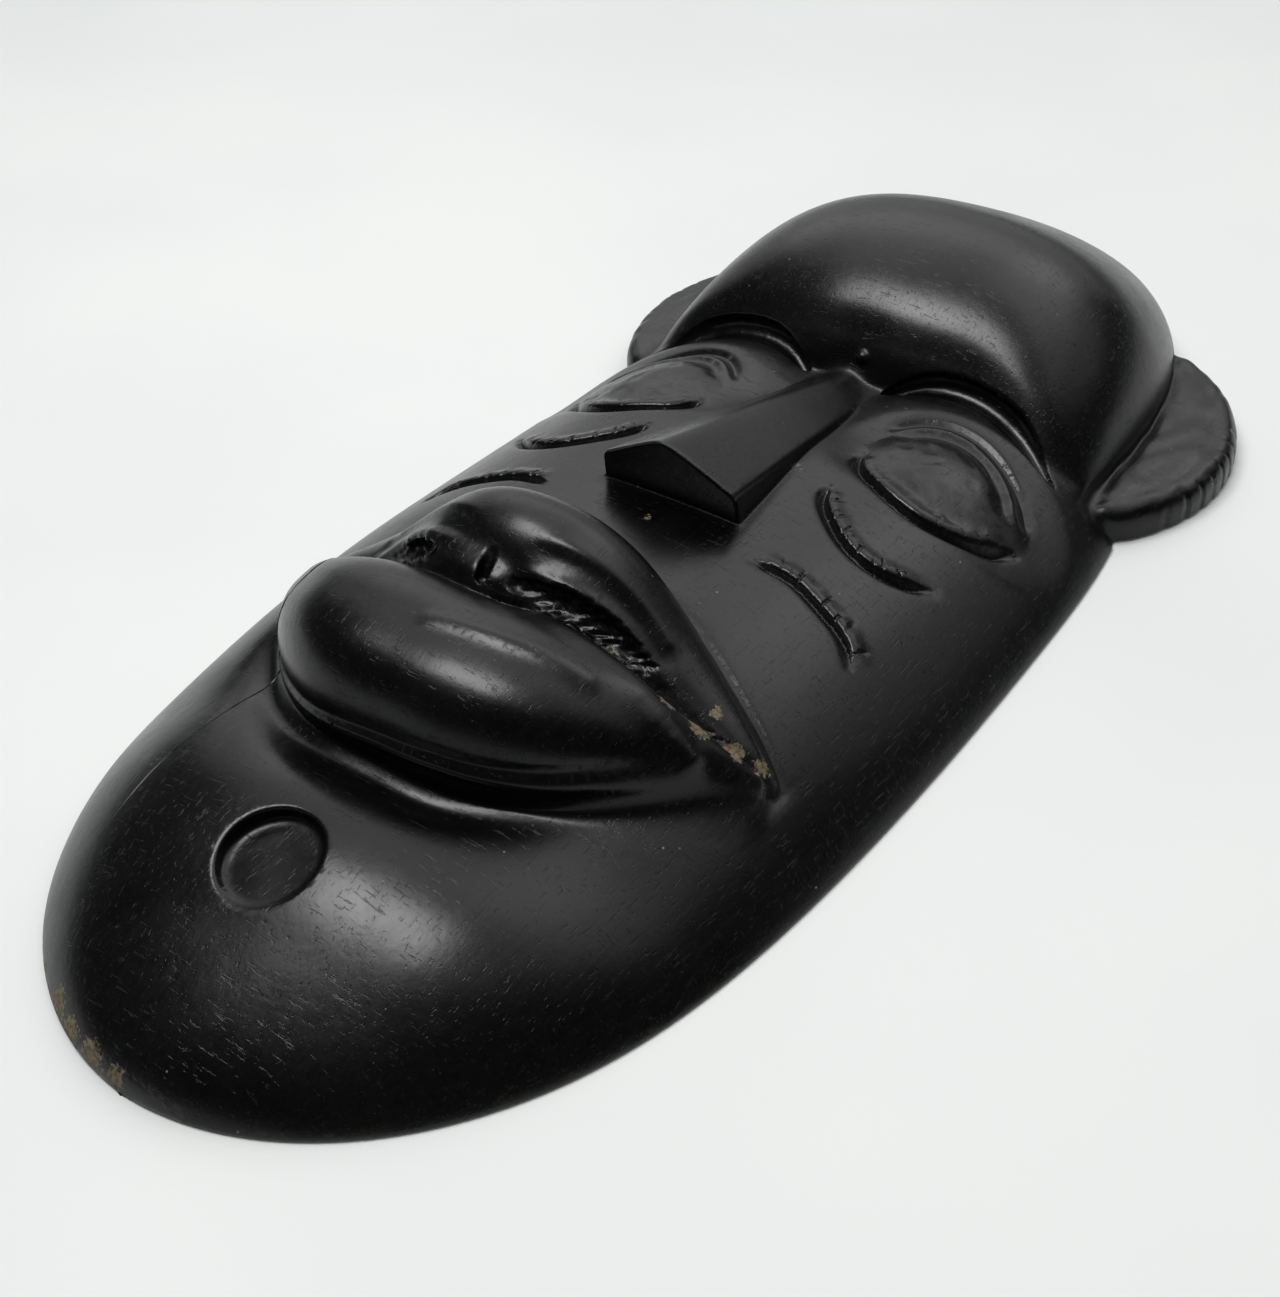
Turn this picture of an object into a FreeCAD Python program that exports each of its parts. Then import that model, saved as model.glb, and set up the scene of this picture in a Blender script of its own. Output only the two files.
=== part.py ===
import FreeCAD, Part
import math
import os

# Carved wall mask lying on its back. X across the face, Y from chin to crown, Z out of the face.
# The flat back rim is the plane Z = 0 and the origin is the middle of that plane. Millimetres.

mask_length = 300.0
half_length = mask_length / 2
ear_reach = 70.0            # from the middle plane to the outer edge of an ear

# stations of the face from chin to brow: distance along Y, half width, height of the face surface
face_stations = [
    (-half_length, 7.0, 1.8), (-147.0, 17.0, 5.0), (-141.0, 27.5, 9.5), (-128.0, 41.0, 15.5),
    (-115.0, 48.5, 20.0), (-103.0, 53.5, 22.0), (-90.0, 57.5, 22.0), (-75.0, 59.5, 24.0),
    (-58.0, 61.0, 27.0), (-40.0, 61.5, 27.5), (-22.0, 61.5, 26.5), (0.0, 61.0, 25.0),
    (20.0, 59.0, 24.0), (38.0, 56.0, 23.0), (50.0, 52.0, 21.0), (60.0, 46.0, 18.0),
]
face_flank = (2.6, 1.25)    # exponents of the arched cross section of the face

# stations of the domed forehead from brow to crown, in the same order
dome_stations = [
    (46.5, 50.0, 24.0), (50.0, 52.5, 31.0), (56.0, 53.5, 37.0), (64.0, 54.0, 41.0), (74.0, 54.0, 43.0),
    (86.0, 53.0, 41.0), (98.0, 50.5, 36.5), (110.0, 46.0, 30.5), (122.0, 39.5, 23.5),
    (134.0, 30.0, 15.5), (142.0, 21.5, 9.0), (147.0, 13.5, 4.5), (half_length, 5.0, 1.6),
]
dome_flank = (2.2, 1.8)     # exponents of the rounder cross section of the forehead

bridge_y, bridge_z, bridge_half_width = 50.0, 19.0, 5.5
nose_tip_y, nose_tip_z, nose_tip_half_width = -25.0, 40.0, 15.5
nose_undercut = 8.0         # the front face leans back by this much down to the lip
nose_root_z = 14.0          # the wedge is rooted in the face down to here
nose_flare = 2.0            # the root is wider than the ridge on each side

# each lip is a roll from the middle out to the mouth corner:
# distance from the middle plane, middle of the roll in Y and Z, its half depth in Y and in Z
upper_lip = [(0.0, -54.0, 27.0, 12.5, 18.0), (13.0, -51.5, 28.0, 14.0, 18.5), (27.0, -52.0, 24.0, 11.5, 15.0),
             (39.0, -55.5, 19.0, 7.0, 9.0), (46.0, -58.0, 15.5, 3.5, 4.5), (50.0, -59.5, 13.0, 1.0, 1.5)]
lower_lip = [(0.0, -79.0, 23.0, 12.5, 18.0), (13.0, -79.0, 23.0, 12.5, 17.5), (26.0, -75.5, 21.5, 11.5, 14.5),
             (37.0, -69.5, 18.5, 8.5, 9.5), (44.0, -63.5, 15.0, 4.5, 5.0), (48.5, -60.5, 12.5, 1.0, 1.5)]

eye_x, eye_y = 31.0, 30.0
socket_radii = (23.0, 19.0, 10.0)
socket_z = 27.0
eyeball_radii = (17.0, 10.5, 8.0)
eyeball_y, eyeball_z = 27.0, 13.0

dimple_y, dimple_z, dimple_radius, dimple_depth, dimple_tilt = -117.0, 19.5, 8.2, 2.6, 17.0

ear_y, ear_half_height, ear_thickness, ear_root_x = 76.0, 39.0, 13.0, 38.0

hollow_depth = 10.0
rim_width = 14.0
hollow_chin_y, hollow_brow_y = -112.0, 74.0

seam_x = -31.5              # glue line between the main block and the strip along its left edge

recess_depth, recess_half_width = 7.0, 11.0
recess_start_y, recess_end_y = 70.0, 125.0

strap_thickness, strap_width = 1.6, 9.0
strap_start_y = 84.0
ring_axis_y, ring_axis_z = 110.6, 5.0
ring_wire_radius, ring_half_width, ring_side = 1.05, 7.0, 4.0
eye_clearance, eye_wall = 0.07, 0.8
eye_outer_radius = ring_wire_radius + eye_clearance + eye_wall

screw_rows = (89.5, 101.5)
screw_shank_radius, screw_head_radius, screw_length = 1.3, 2.8, 12.0
screw_head_height, screw_point_length = 1.7, 3.0
screw_slot_width, screw_slot_depth = 0.7, 0.8

skirt = 2.0                 # spare depth under the back plane, planed off at the end
arch_steps = 12
ellipse_steps = 16


def at(x, y, z):
    return FreeCAD.Vector(x, y, z)


def arch(y, half_width, height, flank):
    """Closed cross section: a raised arch on a straight skirt that reaches below the back plane."""
    rise, crown = flank
    points = []
    for i in range(2 * arch_steps + 1):
        s = math.sin((i / arch_steps - 1) * math.pi / 2)
        z = height * max(0.0, 1 - abs(s) ** rise) ** (1 / crown)
        points.append(at(half_width * s, y, z))
    curve = Part.BSplineCurve()
    curve.interpolate(points)
    down = at(0, 0, -skirt)
    right, left = points[-1], points[0]
    legs = [(right, right + down), (right + down, left + down), (left + down, left)]
    return Part.Wire([curve.toShape()] + [Part.makeLine(a, b) for a, b in legs])


def arch_loft(stations, flank):
    return Part.makeLoft([arch(y, w, h, flank) for y, w, h in stations], True, False)


def ellipsoid(centre, radii):
    scale = FreeCAD.Matrix()
    scale.scale(*radii)
    ball = Part.makeSphere(1.0).transformGeometry(scale)
    return ball.translated(at(*centre))


def upright_ellipse(centre, half_y, half_z):
    points = []
    for i in range(ellipse_steps):
        a = 2 * math.pi * i / ellipse_steps
        points.append(centre + at(0, half_y * math.cos(a), half_z * math.sin(a)))
    curve = Part.BSplineCurve()
    curve.interpolate(Points=points, PeriodicFlag=True)
    return Part.Wire(curve.toShape())


def mirrored(shape):
    return shape.mirror(at(0, 0, 0), at(1, 0, 0))


def both_sides(shape):
    return [shape, mirrored(shape)]


def box_between(low, high):
    size = [b - a for a, b in zip(low, high)]
    return Part.makeBox(*size, at(*low))


def prism(corners_a, corners_b):
    """Solid between two polygons that have the same number of corners."""
    rings = [Part.makePolygon([at(*c) for c in ring + ring[:1]]) for ring in (corners_a, corners_b)]
    return Part.makeLoft(rings, True, True)


def nose():
    root = nose_flare
    back_y = bridge_y + 6.0
    bridge = [
        (-bridge_half_width, back_y, bridge_z), (bridge_half_width, back_y, bridge_z),
        (bridge_half_width + root, back_y, nose_root_z - 4), (-bridge_half_width - root, back_y, nose_root_z - 4),
    ]
    heel_y = nose_tip_y + nose_undercut
    tip = [
        (-nose_tip_half_width, nose_tip_y, nose_tip_z), (nose_tip_half_width, nose_tip_y, nose_tip_z),
        (nose_tip_half_width + root, heel_y, nose_root_z), (-nose_tip_half_width - root, heel_y, nose_root_z),
    ]
    return prism(bridge, tip)


def lip(stations):
    """Roll lofted through upright ellipses from one mouth corner to the other."""
    left = [(-x, y, z, half_y, half_z) for x, y, z, half_y, half_z in reversed(stations[1:])]
    wires = []
    for x, y, z, half_y, half_z in left + stations:
        wires.append(upright_ellipse(at(x, y, z), half_y, half_z))
    return Part.makeLoft(wires, True, False)


def eye_sockets():
    return both_sides(ellipsoid((eye_x, eye_y, socket_z), socket_radii))


def eyeballs():
    return both_sides(ellipsoid((eye_x, eyeball_y, eyeball_z), eyeball_radii))


def chin_dimple():
    pin = Part.makeCylinder(dimple_radius, 12.0, at(0, dimple_y, dimple_z - dimple_depth), at(0, 0, 1))
    pin.rotate(at(0, dimple_y, dimple_z), at(1, 0, 0), dimple_tilt)
    return pin


def ear():
    """D-shaped slab that stands out behind the temple, with a groove along its root."""
    low = at(ear_root_x, ear_y - ear_half_height, -skirt)
    high = at(ear_root_x, ear_y + ear_half_height + 4.0, -skirt)
    outline = Part.Arc(low + at(12.0, 0, 0), at(ear_reach, ear_y - 4.0, -skirt), high)
    edges = [outline.toShape(), Part.makeLine(high, low), Part.makeLine(low, low + at(12.0, 0, 0))]
    slab = Part.Face(Part.Wire(edges)).extrude(at(0, 0, ear_thickness + skirt))
    rim = [e for e in slab.Edges if e.Curve.TypeId == "Part::GeomCircle" and e.BoundBox.ZMin > ear_thickness - 1]
    return slab.makeFillet(3.0, rim)


def hollow():
    """Shallow scooped back with a flat rim all round it."""
    stations = []
    for y, half_width, _ in face_stations:
        if hollow_chin_y < y < bridge_y - 5.0:
            stations.append((y, half_width - rim_width, hollow_depth))
    chin = (hollow_chin_y, stations[0][1] - 9.0, hollow_depth - 3.0)
    temple = (58.0, 36.0, hollow_depth)
    brow = (hollow_brow_y, 28.0, hollow_depth - 2.0)
    return arch_loft([chin] + stations + [temple, brow], (4.0, 2.4))


def hanger_recess():
    low = (-recess_half_width, recess_start_y, -1.0)
    high = (recess_half_width, recess_end_y, recess_depth)
    return box_between(low, high)


def screw_pilots():
    rise = screw_length - strap_thickness
    return [Part.makeCylinder(screw_shank_radius + 0.02, rise + 1.0, at(0, y, recess_depth)) for y in screw_rows]


def carving():
    """The whole mask in one lump, before it is divided along the glue line."""
    body = arch_loft(face_stations, face_flank).fuse(arch_loft(dome_stations, dome_flank))
    body = body.cut(Part.makeCompound(eye_sockets()))
    for mass in eyeballs() + [nose(), lip(upper_lip), lip(lower_lip)] + both_sides(ear()):
        body = body.fuse(mass)
    below = box_between((-100, -200, -40), (100, 200, 0))
    for tool in [below, chin_dimple(), hollow(), hanger_recess()] + screw_pilots():
        body = body.cut(tool)
    return max(body.Solids, key=lambda solid: solid.Volume)


def divide(body):
    """Main block to the right of the glue line, edge strip to the left of it."""
    left_side = box_between((-120, -200, -10), (seam_x, 200, 80))
    block = body.cut(left_side)
    strip = body.common(left_side)
    return [max(piece.Solids, key=lambda solid: solid.Volume) for piece in (block, strip)]


def strap():
    """Plate screwed to the recess floor, rolled into an eye round the bar of the ring."""
    half = strap_width / 2
    plate = box_between((-half, strap_start_y, recess_depth - strap_thickness), (half, ring_axis_y, recess_depth))
    start = at(-half, ring_axis_y, ring_axis_z)
    eye = Part.makeCylinder(eye_outer_radius, strap_width, start, at(1, 0, 0))
    bore = Part.makeCylinder(ring_wire_radius + eye_clearance, strap_width, start, at(1, 0, 0))
    body = plate.fuse(eye).cut(bore)
    for y in screw_rows:
        body = body.cut(Part.makeCylinder(screw_shank_radius + 0.02, 10.0, at(0, y, 0)))
    return body


def ring():
    """D-shaped wire ring folded flat, its straight bar on the hinge axis."""
    r, half, side = ring_wire_radius, ring_half_width, ring_side
    y, z = ring_axis_y, ring_axis_z
    body = Part.makeCylinder(r, 2 * half, at(-half, y, z), at(1, 0, 0))
    bow = Part.makeTorus(half, r, at(0, y + side, z), at(0, 0, 1), -180, 180, 180)
    body = body.fuse(bow)
    for x in (-half, half):
        body = body.fuse(Part.makeCylinder(r, side, at(x, y, z), at(0, 1, 0)))
        body = body.fuse(Part.makeSphere(r, at(x, y, z)))
    return body.removeSplitter()


def screw(y):
    """Slotted wood screw driven upwards through the strap into the block."""
    seat = recess_depth - strap_thickness
    tip = seat + screw_length
    shank = Part.makeCylinder(screw_shank_radius, screw_length - screw_point_length, at(0, y, seat))
    point = Part.makeCone(screw_shank_radius, 0.25, screw_point_length, at(0, y, tip - screw_point_length))
    head = Part.makeCone(screw_head_radius - 0.9, screw_head_radius, screw_head_height, at(0, y, seat - screw_head_height))
    slot_low = (-screw_head_radius, y - screw_slot_width / 2, seat - screw_head_height)
    slot_high = (screw_head_radius, y + screw_slot_width / 2, seat - screw_head_height + screw_slot_depth)
    return shank.fuse([point, head]).cut(box_between(slot_low, slot_high))


def main():
    os.makedirs("parts", exist_ok=True)
    face_block, side_strip = divide(carving())
    nodes = {
        "face_block": face_block,
        "side_strip": side_strip,
        "hanger_strap": strap(),
        "hanger_ring": ring(),
    }
    for number, y in enumerate(screw_rows, start=1):
        nodes["hanger_screw_" + str(number)] = screw(y)
    for node, shape in nodes.items():
        print(node, shape.isValid(), len(shape.Solids), round(shape.Volume), shape.BoundBox)
        shape.exportStep("parts/" + node + ".step")


main()
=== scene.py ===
import math
import bmesh
import bpy
import numpy as np
from mathutils import Matrix, Vector


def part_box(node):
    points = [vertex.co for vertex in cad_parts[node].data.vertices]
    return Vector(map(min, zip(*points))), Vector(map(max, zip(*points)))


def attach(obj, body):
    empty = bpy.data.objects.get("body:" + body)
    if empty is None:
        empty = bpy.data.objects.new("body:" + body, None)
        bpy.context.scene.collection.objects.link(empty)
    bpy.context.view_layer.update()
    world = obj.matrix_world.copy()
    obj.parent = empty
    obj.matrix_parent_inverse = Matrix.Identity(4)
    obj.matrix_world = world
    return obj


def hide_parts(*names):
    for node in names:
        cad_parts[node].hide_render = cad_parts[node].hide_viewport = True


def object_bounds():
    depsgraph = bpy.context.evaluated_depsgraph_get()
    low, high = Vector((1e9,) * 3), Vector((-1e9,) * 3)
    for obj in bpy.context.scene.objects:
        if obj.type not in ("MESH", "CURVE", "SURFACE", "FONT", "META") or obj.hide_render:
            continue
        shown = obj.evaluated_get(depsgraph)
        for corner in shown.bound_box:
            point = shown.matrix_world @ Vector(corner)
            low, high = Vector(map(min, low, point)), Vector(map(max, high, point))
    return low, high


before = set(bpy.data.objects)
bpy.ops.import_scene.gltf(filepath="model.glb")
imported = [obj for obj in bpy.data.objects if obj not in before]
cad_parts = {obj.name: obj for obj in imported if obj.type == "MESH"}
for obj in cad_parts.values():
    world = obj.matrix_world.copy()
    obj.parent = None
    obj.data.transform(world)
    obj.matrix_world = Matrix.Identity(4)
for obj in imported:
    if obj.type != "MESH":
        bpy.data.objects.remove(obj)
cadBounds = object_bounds()
mm = 0.001


def inMillimetres(corners):
    return [[c / mm for c in corner] for corner in corners]


wholeBox = inMillimetres(cadBounds)
stripBox = inMillimetres(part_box("side_strip"))
strapBox = inMillimetres(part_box("hanger_strap"))
halfLength = (wholeBox[1][1] - wholeBox[0][1]) / 2
seamX = stripBox[1][0]
strapSeat = strapBox[1][2]  # floor of the recess that the strap is screwed to
print("frame loaded, mask", round(2 * halfLength, 1), "mm long")


# maths shared by all the carving, in millimetres
def smoothMin(a, b, k):
    h = np.clip(0.5 + 0.5 * (b - a) / k, 0.0, 1.0)
    return b * (1 - h) + a * h - k * h * (1 - h)


def smoothMax(a, b, k):
    return -smoothMin(-a, -b, k)


def fade(t):
    t = np.clip(t, 0.0, 1.0)
    return t * t * (3 - 2 * t)


def bell(distance, width):
    return np.exp(-(distance / width) ** 2)


def splineThrough(knots, values):
    knots, values = np.asarray(knots, float), np.asarray(values, float)
    count, step = len(knots), np.diff(knots)
    rows, right = np.eye(count), np.zeros(count)
    for i in range(1, count - 1):
        rows[i, i - 1:i + 2] = step[i - 1], 2 * (step[i - 1] + step[i]), step[i]
        right[i] = 6 * ((values[i + 1] - values[i]) / step[i] - (values[i] - values[i - 1]) / step[i - 1])
    bend = np.linalg.solve(rows, right)

    def at(x):
        x = np.clip(x, knots[0], knots[-1])
        i = np.clip(np.searchsorted(knots, x) - 1, 0, count - 2)
        h = step[i]
        a, b = (knots[i + 1] - x) / h, (x - knots[i]) / h
        sag = ((a ** 3 - a) * bend[i] + (b ** 3 - b) * bend[i + 1]) * h * h / 6
        return a * values[i] + b * values[i + 1] + sag

    return at


def curveThrough(points, count=24):
    # smooth polyline through a few points of any dimension
    points = np.asarray(points, float)
    along = np.r_[0, np.cumsum(np.linalg.norm(np.diff(points, axis=0), axis=1))]
    at = np.linspace(0, along[-1], count + 1)
    return np.stack([splineThrough(along, points[:, i])(at) for i in range(points.shape[1])], 1)


def distanceOf(level, x, y, z, e=0.05):
    # turns a level function into a distance near its surface
    g = level(x, y, z)
    gx = level(x + e, y, z) - g
    gy = level(x, y + e, z) - g
    gz = level(x, y, z + e) - g
    return g * e / np.sqrt(gx * gx + gy * gy + gz * gz + 1e-12)


def ellipsoidDistance(x, y, z, centre, radii):
    u, v, w = (x - centre[0]), (y - centre[1]), (z - centre[2])
    a, b, c = radii
    k = np.sqrt((u / a) ** 2 + (v / b) ** 2 + (w / c) ** 2)
    slope = np.sqrt((u / a ** 2) ** 2 + (v / b ** 2) ** 2 + (w / c ** 2) ** 2) + 1e-9
    return k * (k - 1.0) / slope


def boxDistance(x, y, z, low, high, rounding):
    dx = np.maximum(low[0] - x, x - high[0]) + rounding
    dy = np.maximum(low[1] - y, y - high[1]) + rounding
    dz = np.maximum(low[2] - z, z - high[2]) + rounding
    outside = np.sqrt(np.maximum(dx, 0) ** 2 + np.maximum(dy, 0) ** 2 + np.maximum(dz, 0) ** 2)
    return outside + np.minimum(np.maximum(dx, np.maximum(dy, dz)), 0) - rounding


def tubeDistance(x, y, z, line, radii):
    # distance to a tapering tube along a polyline in space
    best = np.full(x.shape, 1e9)
    for i in range(len(line) - 1):
        a, d = line[i], line[i + 1] - line[i]
        t = np.clip(((x - a[0]) * d[0] + (y - a[1]) * d[1] + (z - a[2]) * d[2]) / d.dot(d), 0, 1)
        away = np.sqrt((x - a[0] - t * d[0]) ** 2 + (y - a[1] - t * d[1]) ** 2 + (z - a[2] - t * d[2]) ** 2)
        best = np.minimum(best, away - radii[i] - (radii[i + 1] - radii[i]) * t)
    return best


def nearLine(x, y, line):
    # distance to a line drawn in plan, how far along it, and the side (positive to the left of its run)
    best, where, side = np.full(x.shape, 1e9), np.zeros(x.shape), np.ones(x.shape)
    along = np.r_[0, np.cumsum(np.linalg.norm(np.diff(line, axis=0), axis=1))]
    for i in range(len(line) - 1):
        a, d = line[i], line[i + 1] - line[i]
        t = np.clip(((x - a[0]) * d[0] + (y - a[1]) * d[1]) / d.dot(d), 0, 1)
        ex, ey = x - a[0] - t * d[0], y - a[1] - t * d[1]
        away = np.hypot(ex, ey)
        closer = away < best
        best = np.where(closer, away, best)
        where = np.where(closer, along[i] + t * (along[i + 1] - along[i]), where)
        side = np.where(closer, np.sign(d[0] * ey - d[1] * ex), side)
    return best, where, side, along[-1]


# body of the mask: an arched face below the brow and a dome above it
head = {
    "faceY": [-150, -142, -128, -105, -75, -45, -15, 15, 45, 75, 100],
    "faceHalfWidth": [74.5, 74.5, 73.6, 70.8, 66.5, 63.6, 62.2, 61.4, 59.0, 52, 44],
    "reliefY": [-150, -142, -128, -116, -104, -92, -75, -58, -40, -22, 0, 20, 38, 50, 70, 100],
    "faceHeight": [25, 25.6, 27.5, 29.8, 28.2, 25, 26.2, 28, 28, 26.5, 25, 24.3, 24.2, 23, 18, 12],
    "faceFlank": (2.6, 1.25),
    "domeY": [30, 40, 46.5, 56, 64, 74, 86, 98, 110, 122, 134, 142, 150],
    "domeHalfWidth": [50, 52, 53, 54, 54.6, 55.4, 56.4, 57.0, 56.8, 56.0, 54.2, 53.7, 53.5],
    "riseY": [36, 41, 43.5, 45, 47, 50, 53, 57, 61, 66, 74, 86, 98, 110, 122, 134, 142, 150],
    "domeHeight": [4, 14, 21.0, 25.5, 29.0, 32.8, 35.4, 38.0, 40.1, 42.2, 44.6, 45.6, 43, 39.2, 34.6, 28.9, 23.1, 17],
    "domeFlank": (2.4, 2.0),
    "chinRoundness": 2.4,
    "crownRoundness": 3.0,
    "bridgeDip": 1.2,
    "browArch": 3.0,
    "rootDip": 5.0,
}
faceWidthAt = splineThrough(head["faceY"], head["faceHalfWidth"])
faceHeightAt = splineThrough(head["reliefY"], head["faceHeight"])
domeWidthAt = splineThrough(head["domeY"], head["domeHalfWidth"])
domeHeightAt = splineThrough(head["riseY"], head["domeHeight"])


def endTaper(distance, roundness):
    return np.sqrt(np.clip(1 - (np.clip(distance, 0, None) / halfLength) ** roundness, 1e-4, 1))


def archLevel(x, y, z, width, height, flank):
    return (np.abs(x) / width) ** flank[0] + (np.clip(z, 0, None) / height) ** flank[1] - 1.0


def faceLevel(x, y, z):
    taper = endTaper(-y, head["chinRoundness"])
    over = np.clip(-y - halfLength, 0, None) + np.clip(y - 92, 0, None)
    height = np.maximum(faceHeightAt(y) * taper, 0.3)
    lifted = z + head["rootDip"] * bell(x, 15.0) * fade((y - 6) / 28)
    return archLevel(x, y, lifted, faceWidthAt(y) * taper, height, head["faceFlank"]) + over * 0.1


def domeLevel(x, y, z):
    dip = head["bridgeDip"] * bell(x, 8.0) * fade((62 - y) / 18)
    arch = head["browArch"] * bell(np.abs(x) - 25, 13.0) * fade((72 - y) / 28)
    y = y - (dip + arch)
    taper = endTaper(y, head["crownRoundness"])
    over = np.clip(y - halfLength, 0, None) + np.clip(38 - y, 0, None)
    height = np.maximum(domeHeightAt(y) * taper, 0.3)
    return archLevel(x, y, z, domeWidthAt(y) * taper, height, head["domeFlank"]) + over * 0.1


# nose: a wedge with a roof ridge, cut by flat planes
nose = {
    "bridge": (0, 52, 20.5), "tip": (0, -21.5, 41.0),
    "bridgeSide": (6.4, 50, 19.0), "tipSide": (14.2, -18.5, 32.0),
    "footTip": (15.2, -17.0, 20.0),
    "lipSide": (14, -17.0, 25.0),
    "inside": (0, 10, 22), "lean": 1.4, "knob": (2.2, 46.2, 25.0), "knobRadius": 1.1,
    "edgeRadii": (0.0, 1.0, 0.8, 1.0, 1.0),
}


def planeThrough(a, b, c, inside):
    a, b, c = (np.asarray(v, float) for v in (a, b, c))
    n = np.cross(b - a, c - a)
    n /= np.linalg.norm(n)
    if np.dot(n, np.asarray(inside, float) - a) > 0:
        n = -n
    return n, np.dot(n, a)


def nosePlanes():
    lipSide = nose["lipSide"]
    corners = [
        (nose["bridge"], nose["tip"], nose["tipSide"]),
        (nose["bridgeSide"], nose["tipSide"], nose["footTip"]),
        (nose["tip"], lipSide, (-lipSide[0], lipSide[1], lipSide[2])),
        ((0, 58, 10), (10, 58, 10), (0, 58, 20)),
        ((0, 0, 6), (10, 0, 6), (0, 20, 6)),
    ]
    return [planeThrough(a, b, c, nose["inside"]) for a, b, c in corners]


def noseDistance(x, y, z, planes=nosePlanes()):
    ax = np.sqrt((x - nose["lean"] * fade((z - 20) / 18) * fade((26 - y) / 50)) ** 2 + 4.0)
    d = None
    for (n, offset), radius in zip(planes, nose["edgeRadii"]):
        q = n[0] * ax + n[1] * y + n[2] * z - offset
        d = q if d is None else smoothMax(d, q, radius)
    nostrils = ellipsoidDistance(ax, y, z, (5.5, -24.5, 28.5), (7.0, 4.6, 6.5))
    return smoothMax(d, -nostrils, 1.0)


# lips: two rolls that taper to the corners of the mouth; distances out from the middle come first
upperLip = {
    "out": [0, 8, 16, 27, 39, 46, 50],
    "y": [-54.5, -54.0, -53.8, -54.6, -57.0, -58.6, -59.5],
    "z": [27.5, 27.0, 25.5, 20.5, 15.5, 13.0, 11.5],
    "frontDepth": [12.0, 12.2, 11.8, 9.6, 6.4, 3.6, 1.6],
    "backDepth": [12.0, 12.0, 11.2, 9.2, 6.4, 3.8, 1.6],
    "halfHeight": [18.5, 17.5, 15.0, 10.5, 7.0, 4.5, 2.0],
    "frontBulge": 2.2, "backBulge": 2.0, "lean": 0.0,
}
lowerLip = {
    "out": [0, 13, 22, 30, 37, 44, 49],
    "y": [-80.3, -79.8, -77.6, -74.2, -70.0, -64.6, -61.0],
    "z": [21.5, 21.8, 21.0, 19.5, 17.4, 14.2, 12.0],
    "frontDepth": [14.0, 14.0, 12.8, 10.8, 8.0, 4.6, 1.6],
    "backDepth": [16.0, 16.2, 14.0, 11.0, 8.2, 4.8, 1.6],
    "halfHeight": [18.1, 17.5, 15.8, 13.0, 9.8, 6.2, 3.0],
    "frontBulge": 3.6, "backBulge": 2.2, "lean": 0.16,
}


def lipSplines(lip):
    return [splineThrough(lip["out"], lip[key]) for key in ("y", "z", "frontDepth", "backDepth", "halfHeight")]


def lipDistance(x, y, z, lip, splines):
    ax = np.sqrt(x * x + 16.0)  # no crease in the middle
    middleY, middleZ, frontAt, backAt, heightAt = splines
    v, w = y - middleY(ax), z - middleZ(ax)
    front = v < 0
    b = np.maximum(np.where(front, frontAt(ax), backAt(ax)), 0.4)
    c = np.maximum(heightAt(ax), 0.4)
    p = np.where(front, lip["frontBulge"], lip["backBulge"])
    w = np.abs(w - lip["lean"] * v)
    v = np.abs(v) + 1e-6
    q = np.where(front, 2 + 0.5 * (lip["frontBulge"] - 2), 2)
    level = (v / b) ** p + (w / c) ** q - 1
    slope = np.sqrt((p * (v / b) ** (p - 1) / b) ** 2 + (q * (w / c) ** (q - 1) / c) ** 2) + 0.02
    return smoothMax(np.maximum(level / slope, -9.0), ax - lip["out"][-1], 1.5)


upperSplines, lowerSplines = lipSplines(upperLip), lipSplines(lowerLip)

# thin ledge carved round the foot of the lower lip: its height above the chin, from left to right
lipLedge = {"across": [-46, -30, -12, 0, 12, 32, 46], "height": [0.6, 1.2, 2.6, 3.8, 4.8, 4.6, 2.5]}

# mouth: the hollow cut under each half of the upper lip, the pit in its middle, and the beads along it
mouth = {
    "gap": curveThrough([(5.5, -65.0, 38.0), (12, -64.2, 37.0), (20, -62.8, 33.8),
                         (30, -62.4, 28.6), (39, -62.4, 22.8), (47, -60.3, 17.2)], 12),
    "gapRadii": np.interp(np.linspace(0, 1, 13), [0, 0.15, 0.45, 0.7, 1], [1.2, 2.6, 2.7, 1.8, 0.6]),
    "lobe": curveThrough([(5, -69.8, 32.0), (12, -67.6, 32.4), (18, -68.4, 32.2),
                          (24, -67.8, 29.3), (30, -69.0, 27.6), (40, -69.5, 22.4)], 10),
    "lobeRadii": np.interp(np.linspace(0, 1, 11), [0, 0.2, 0.7, 1], [1.5, 3.4, 3.2, 1.5]),
    "chisel": 0.10,
    "ridge": curveThrough([(1.3, -80.4, 39.7), (8.1, -79.1, 39.8), (14.4, -77.7, 39.2),
                           (19.6, -76.0, 37.8), (26.2, -74.4, 34.8)], 10),
    "pit": np.array([(-0.8, -63.6, 41.0), (-0.4, -66.0, 38.0)]), "pitRadii": (0.8, 1.3),
    "fill": curveThrough([(-19, -62.0, 33.0), (-10, -63.6, 35.4), (-2, -64.8, 36.6), (4, -65.0, 36.0)], 8),
    "fillRadii": np.interp(np.linspace(0, 1, 9), [0, 0.3, 0.8, 1], [1.5, 3.4, 3.4, 1.6]),
    "bead": curveThrough([(4, -63.2, 39.6), (9.3, -62.7, 39.3), (16.3, -60.9, 37.2),
                          (20.8, -59.8, 34.2), (28.2, -60.6, 27.0)], 10),
    "channel": curveThrough([(6, -60.4, 42.4), (12, -59.2, 41.0),
                             (18, -58.0, 37.8), (23, -57.4, 33.8), (28, -58, 28.8)], 10),
    "shoulder": curveThrough([(3, -60.0, 43.8), (13.8, -56.8, 41.6),
                              (19, -55.4, 38.2), (23, -55.0, 34.7), (27.3, -55.7, 30.5)], 10),
}


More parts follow.
